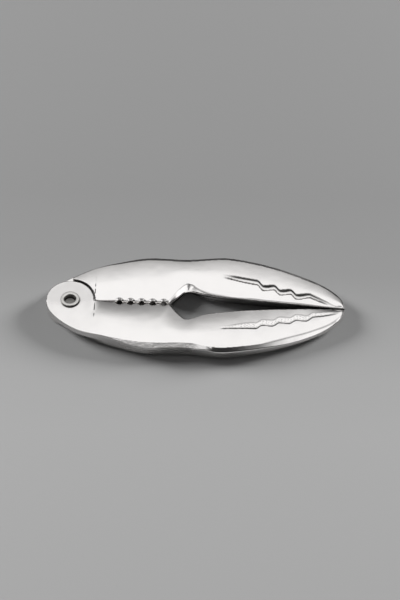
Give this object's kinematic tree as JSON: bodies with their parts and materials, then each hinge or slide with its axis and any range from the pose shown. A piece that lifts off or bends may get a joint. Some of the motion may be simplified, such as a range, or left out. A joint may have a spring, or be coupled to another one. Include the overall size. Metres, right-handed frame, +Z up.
{
  "type": "lobster cracker",
  "caption": "Claw-shaped lobster cracker: two polished cast levers on a rivet hinge, with toothed jaws, a mouth between the fingers and a wavy groove along each finger.",
  "frame": {"origin": "on the hinge axis, at the flat underside of the rivet's head, level with the undersides of the levers", "axes": "+X from the hinge to the claw tips, +Y towards the far lever, +Z up along the hinge axis"},
  "size_m": [0.1679, 0.067, 0.0092],
  "materials": {
    "lever_metal": "hand-polished casting",
    "rivet_metal": "bright rolled steel"
  },
  "bodies": {
    "near_lever": {"lower_lever": "lever_metal", "hinge_rivet": "rivet_metal"},
    "far_lever": {"upper_lever": "lever_metal"}
  },
  "joints": [
    {"name": "hinge", "type": "hinge", "parent": "near_lever", "child": "far_lever", "pos_m": [0, 0, 0.00455], "axis": [0, 0, 1], "range_deg": [0, 140]}
  ]
}
